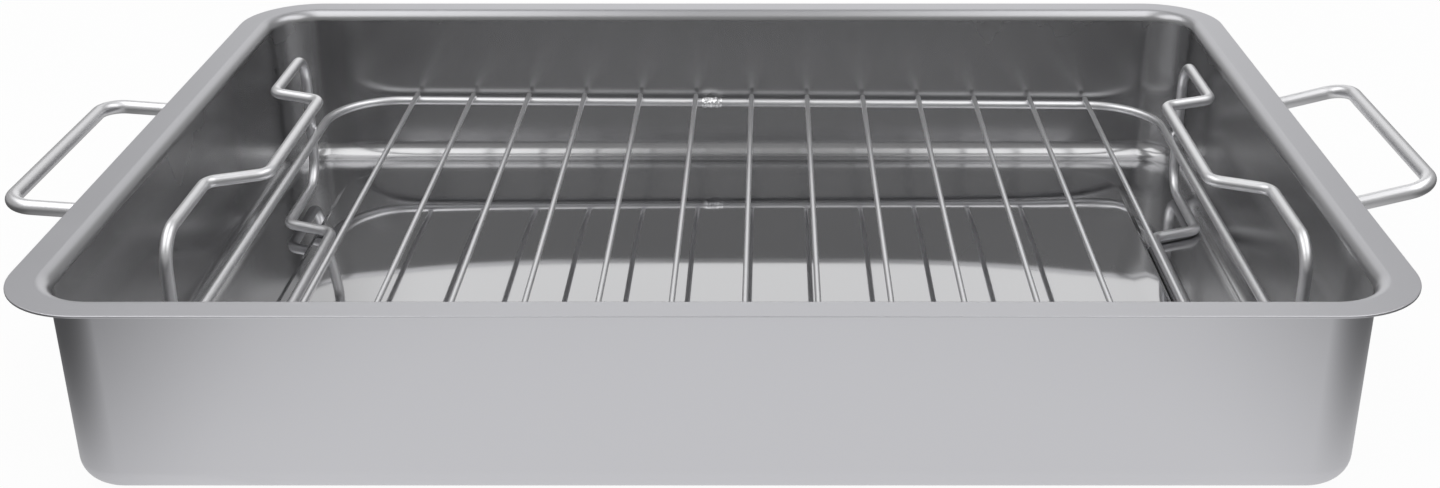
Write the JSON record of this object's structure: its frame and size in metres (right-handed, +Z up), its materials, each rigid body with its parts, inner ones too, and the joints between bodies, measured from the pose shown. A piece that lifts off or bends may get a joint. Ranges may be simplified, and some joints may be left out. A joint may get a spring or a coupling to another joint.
{
  "type": "roasting pan with rack",
  "caption": "Rectangular steel roasting pan with a flat rim, folding wire handles and a lift-out wire rack carried by looped ends.",
  "frame": {"origin": "middle of the pan's length and width, on the surface that its base border stands on", "axes": "+Z up, X along the long side with the handles at its ends, +Y from the front to the back"},
  "size_m": [0.4674, 0.29, 0.0645],
  "materials": {
    "pan_sheet": "drawn stainless sheet, satin outside, polished inside",
    "saddle_sheet": "pressed stainless strip, satin",
    "handle_wire": "bright drawn stainless wire",
    "rack_wire": "bright drawn wire, resistance-welded and polished"
  },
  "bodies": {
    "pan": {"pan_body": "pan_sheet", "handle_saddle_left": "saddle_sheet", "handle_saddle_right": "saddle_sheet"},
    "left_handle": {"handle_left": "handle_wire"},
    "right_handle": {"handle_right": "handle_wire"},
    "rack": {"rack_ring": "rack_wire", "end_loop_left": "rack_wire", "end_loop_right": "rack_wire", "rack_bar_01": "rack_wire", "rack_bar_02": "rack_wire", "rack_bar_03": "rack_wire", "rack_bar_04": "rack_wire", "rack_bar_05": "rack_wire", "rack_bar_06": "rack_wire", "rack_bar_07": "rack_wire", "rack_bar_08": "rack_wire", "rack_bar_09": "rack_wire", "rack_bar_10": "rack_wire", "rack_bar_11": "rack_wire", "rack_bar_12": "rack_wire", "rack_bar_13": "rack_wire"}
  },
  "joints": [
    {"name": "left_handle_fold", "type": "hinge", "parent": "pan", "child": "left_handle", "pos_m": [-0.19149, 0, 0.0515], "axis": [0, 1, 0], "range_deg": [-94.5, 39.5]},
    {"name": "right_handle_fold", "type": "hinge", "parent": "pan", "child": "right_handle", "pos_m": [0.19149, 0, 0.0515], "axis": [0, -1, 0], "range_deg": [-104.5, 29.5]},
    {"name": "rack_lift", "type": "slide", "parent": "pan", "child": "rack", "axis": [0, 0, 1], "range_m": [0, 0.09]}
  ]
}
